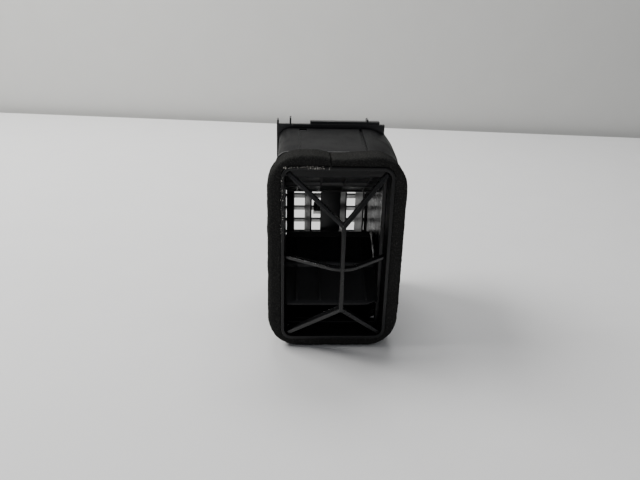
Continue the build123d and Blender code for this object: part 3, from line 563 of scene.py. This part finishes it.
def dress_nodes():
    """Give every CAD node but the foam its finish, and round the edges of those in ROUNDING."""
    for name, node in NODES.items():
        if name == "foam_gasket":
            continue
        slot_name = node.data.materials[0].name.split(".")[0]
        finish = OWN_FINISH_AND_PAINTED_LIGHT.get(name) or FINISHES[slot_name]
        if name in ROUNDING:
            rounded_copy(name, finish, slot_name, ROUNDING[name])
            continue
        node.data.materials.clear()
        node.data.materials.append(finish)


# ---------------------------------------------------------------- stage, light and camera
FLOOR_Z = cad_low.z
TABLE_EDGE_Y, TABLE_TURN = 0.748, math.radians(-7.3)
CAMERA_PLACE = Vector((-0.0279, -0.3418, 0.1504))
CAMERA_HEADING, CAMERA_DOWN, CAMERA_ROLL = math.radians(3), math.radians(22), 0.025
CAMERA_LENS = 33.75
BOARD_WIDTH, TABLE_DEPTH, WALL_HEIGHT = 6.0, 3.0, 3.0
BOARD_THICKNESS, BOARD_EDGE = 0.02, 0.002
WALL_GAP, WALL_RISE = 0.03, 0.9    # the wall stands this far behind the table, its middle this far above
DAYLIGHT, DAYLIGHT_STRENGTH = (0.93, 0.95, 1.0, 1.0), 0.27
WINDOW_PLACE, WINDOW_TARGET, WINDOW_SIZE, WINDOW_WATTS = (-0.95, 0.30, 0.95), (0, 0.05, 0), (0.8, 0.6), 24.0
CEILING_PLACE, CEILING_TARGET, CEILING_SIZE, CEILING_WATTS = (0.05, 0.62, 1.05), (0, 0.1, 0), (0.8, 0.4), 7.5
WINDOW_TINT = (1.0, 0.99, 0.97)


def board(name, size_x, size_y, place, turn, material):
    """A flat stage board with a rounded front edge."""
    bm = bmesh.new()
    bmesh.ops.create_cube(bm, size=1.0, matrix=Matrix.Diagonal((size_x, size_y, BOARD_THICKNESS, 1)))
    bmesh.ops.bevel(bm, geom=bm.edges, offset=BOARD_EDGE, segments=3, affect="EDGES")
    mesh = bpy.data.meshes.new(name)
    bm.to_mesh(mesh)
    bm.free()
    mesh.materials.append(material)
    piece = bpy.data.objects.new(name, mesh)
    bpy.context.scene.collection.objects.link(piece)
    piece.matrix_world = Matrix.Translation(place) @ turn


def build_stage():
    """A table under the object, and a wall behind the table's far edge."""
    turn = Matrix.Rotation(TABLE_TURN, 4, "Z")
    away = turn.to_3x3() @ Vector((0, 1, 0))
    edge = Vector((0, TABLE_EDGE_Y, FLOOR_Z - BOARD_THICKNESS / 2))
    board("table", BOARD_WIDTH, TABLE_DEPTH, edge - away * TABLE_DEPTH / 2, turn,
          tabletop("table_paint", 0.74, NEUTRAL))
    upright = turn @ Matrix.Rotation(math.pi / 2, 4, "X")
    board("wall", BOARD_WIDTH, WALL_HEIGHT, edge + away * WALL_GAP + Vector((0, 0, WALL_RISE)), upright,
          tabletop("wall_paint", 0.62, (1.0, 1.0, 0.97)))


def area_light(name, place, target, size, watts, tint=NEUTRAL):
    """A soft rectangular light at a place, aimed at a target."""
    data = bpy.data.lights.new(name, "AREA")
    data.shape = "RECTANGLE"
    data.size, data.size_y = size
    data.energy = watts
    data.color = tint
    light = bpy.data.objects.new(name, data)
    bpy.context.scene.collection.objects.link(light)
    light.location = place
    light.rotation_euler = (Vector(target) - Vector(place)).to_track_quat("-Z", "Y").to_euler()


def build_lights():
    """Dim daylight all round, a window on the left and a ceiling light beyond the object."""
    world = bpy.data.worlds.new("room")
    bpy.context.scene.world = world
    world.use_nodes = True
    background = world.node_tree.nodes["Background"]
    background.inputs["Color"].default_value = DAYLIGHT
    background.inputs["Strength"].default_value = DAYLIGHT_STRENGTH
    area_light("window", WINDOW_PLACE, WINDOW_TARGET, WINDOW_SIZE, WINDOW_WATTS, WINDOW_TINT)
    area_light("ceiling", CEILING_PLACE, CEILING_TARGET, CEILING_SIZE, CEILING_WATTS)


def build_camera():
    """Stand behind the inlet and a little above it, looking down along the air's path."""
    data = bpy.data.cameras.new("camera")
    data.lens = CAMERA_LENS
    data.clip_start = 0.01
    camera = bpy.data.objects.new("camera", data)
    bpy.context.scene.collection.objects.link(camera)
    aim = Matrix.Rotation(-CAMERA_HEADING, 4, "Z") @ Matrix.Rotation(math.pi / 2 - CAMERA_DOWN, 4, "X")
    camera.matrix_world = Matrix.Translation(CAMERA_PLACE) @ aim @ Matrix.Rotation(CAMERA_ROLL, 4, "Z")
    bpy.context.scene.camera = camera


build_camera()
build_lights()
build_stage()
dress_nodes()
foam_strip()
glue_traces()
